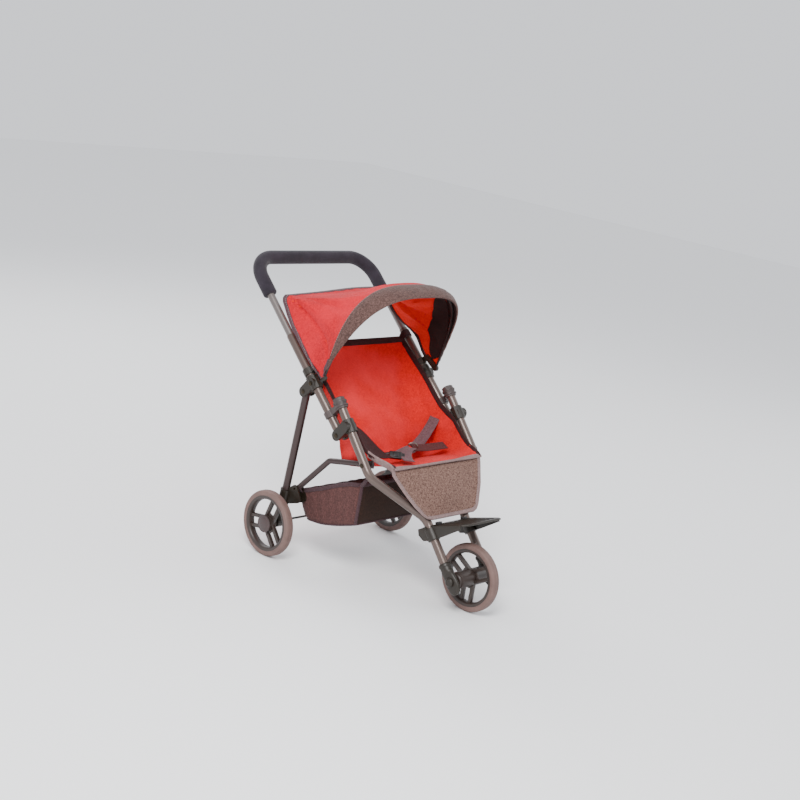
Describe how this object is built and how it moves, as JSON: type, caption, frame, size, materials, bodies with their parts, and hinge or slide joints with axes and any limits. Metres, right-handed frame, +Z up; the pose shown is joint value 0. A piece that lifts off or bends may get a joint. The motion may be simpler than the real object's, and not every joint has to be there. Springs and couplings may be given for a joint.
{
  "type": "doll stroller",
  "caption": "Folding toy pushchair: a tube frame with a hammock seat, a hood, a basket, a footrest and a single front wheel.",
  "frame": {"origin": "on the floor under the middle of the object's box", "axes": "+Z up, -Y the way the stroller rolls forward, +X its left side"},
  "size_m": [0.3464, 0.5708, 0.5256],
  "materials": {
    "frame_metal": "satin",
    "bracket_plastic": "matte",
    "clip_plastic": "matte",
    "foam": "matte foam",
    "tyre": "matte",
    "rim_plastic": "satin",
    "red_fabric": "woven",
    "grey_fabric": "woven, heathered",
    "basket_fabric": "woven",
    "webbing": "woven tape",
    "buckle_plastic": "gloss",
    "steel": "satin"
  },
  "bodies": {
    "handle_frame": {"handle_tube": "frame_metal", "handle_grip": "foam", "side_tube_right": "frame_metal", "side_tube_left": "frame_metal", "leg_bracket_right": "bracket_plastic", "leg_bracket_left": "bracket_plastic", "canopy_clip_right": "bracket_plastic", "canopy_clip_left": "bracket_plastic", "leg_rivet_right": "steel", "leg_rivet_left": "steel", "bracket_rivet_right": "steel", "bracket_rivet_left": "steel", "seat_back": "red_fabric", "canopy_fabric": "red_fabric"},
    "front_frame": {"front_tube_right": "frame_metal", "front_tube_left": "frame_metal", "fold_bracket_right": "bracket_plastic", "fold_bracket_left": "bracket_plastic", "lock_clip_right": "clip_plastic", "lock_clip_left": "clip_plastic", "fork_end_right": "bracket_plastic", "fork_end_left": "bracket_plastic", "fold_rivet_right": "steel", "fold_rivet_left": "steel", "brace_rivet_right": "steel", "brace_rivet_left": "steel", "front_axle_cap_right": "rim_plastic", "front_axle_cap_left": "rim_plastic", "front_axle": "steel", "footrest": "bracket_plastic", "seat_base": "red_fabric", "seat_apron": "grey_fabric", "lap_strap": "webbing", "crotch_strap": "webbing", "belt_buckle": "buckle_plastic"},
    "rear_legs": {"rear_leg_right": "frame_metal", "rear_leg_left": "frame_metal", "rear_foot_right": "bracket_plastic", "rear_foot_left": "bracket_plastic", "rear_axle": "steel", "rear_hub_cap_right": "rim_plastic", "rear_hub_cap_left": "rim_plastic"},
    "braces": {"brace_right": "frame_metal", "brace_left": "frame_metal", "seat_crossbar": "frame_metal", "basket": "basket_fabric"},
    "canopy": {"canopy_band": "grey_fabric", "canopy_bow": "frame_metal"},
    "front_wheel": {"front_rim": "rim_plastic", "front_tyre": "tyre"},
    "rear_wheel_right": {"rear_rim_right": "rim_plastic", "rear_tyre_right": "tyre"},
    "rear_wheel_left": {"rear_rim_left": "rim_plastic", "rear_tyre_left": "tyre"}
  },
  "joints": [
    {"name": "fold", "type": "hinge", "parent": "handle_frame", "child": "front_frame", "pos_m": [0, -0.0084, 0.2648], "axis": [1, 0, 0], "range_deg": [0, 90], "deforming": ["seat_back", "seat_base", "basket", "lap_strap", "crotch_strap", "belt_buckle", "canopy_fabric"]},
    {"name": "rear_leg_fold", "type": "hinge", "parent": "handle_frame", "child": "rear_legs", "pos_m": [0, 0.0864, 0.3161], "axis": [1, 0, 0], "range_deg": [0, 43]},
    {"name": "brace_fold", "type": "hinge", "parent": "front_frame", "child": "braces", "pos_m": [0, -0.072, 0.23], "axis": [1, 0, 0], "range_deg": [-62, 0]},
    {"name": "canopy_fold", "type": "hinge", "parent": "handle_frame", "child": "canopy", "pos_m": [0, 0.05, 0.35], "axis": [1, 0, 0], "range_deg": [-50, 0], "deforming": ["canopy_fabric"]},
    {"name": "front_wheel_spin", "type": "hinge", "parent": "front_frame", "child": "front_wheel", "pos_m": [0, -0.2254, 0.06], "axis": [1, 0, 0], "continuous": true},
    {"name": "rear_wheel_right_spin", "type": "hinge", "parent": "rear_legs", "child": "rear_wheel_right", "pos_m": [-0.1594, 0.1228, 0.06], "axis": [1, 0, 0], "continuous": true},
    {"name": "rear_wheel_left_spin", "type": "hinge", "parent": "rear_legs", "child": "rear_wheel_left", "pos_m": [0.1594, 0.1228, 0.06], "axis": [1, 0, 0], "continuous": true}
  ],
  "couplings": [
    {"joint": "rear_leg_fold", "follows": "fold", "ratio": 0.472},
    {"joint": "brace_fold", "follows": "fold", "ratio": -0.688}
  ]
}
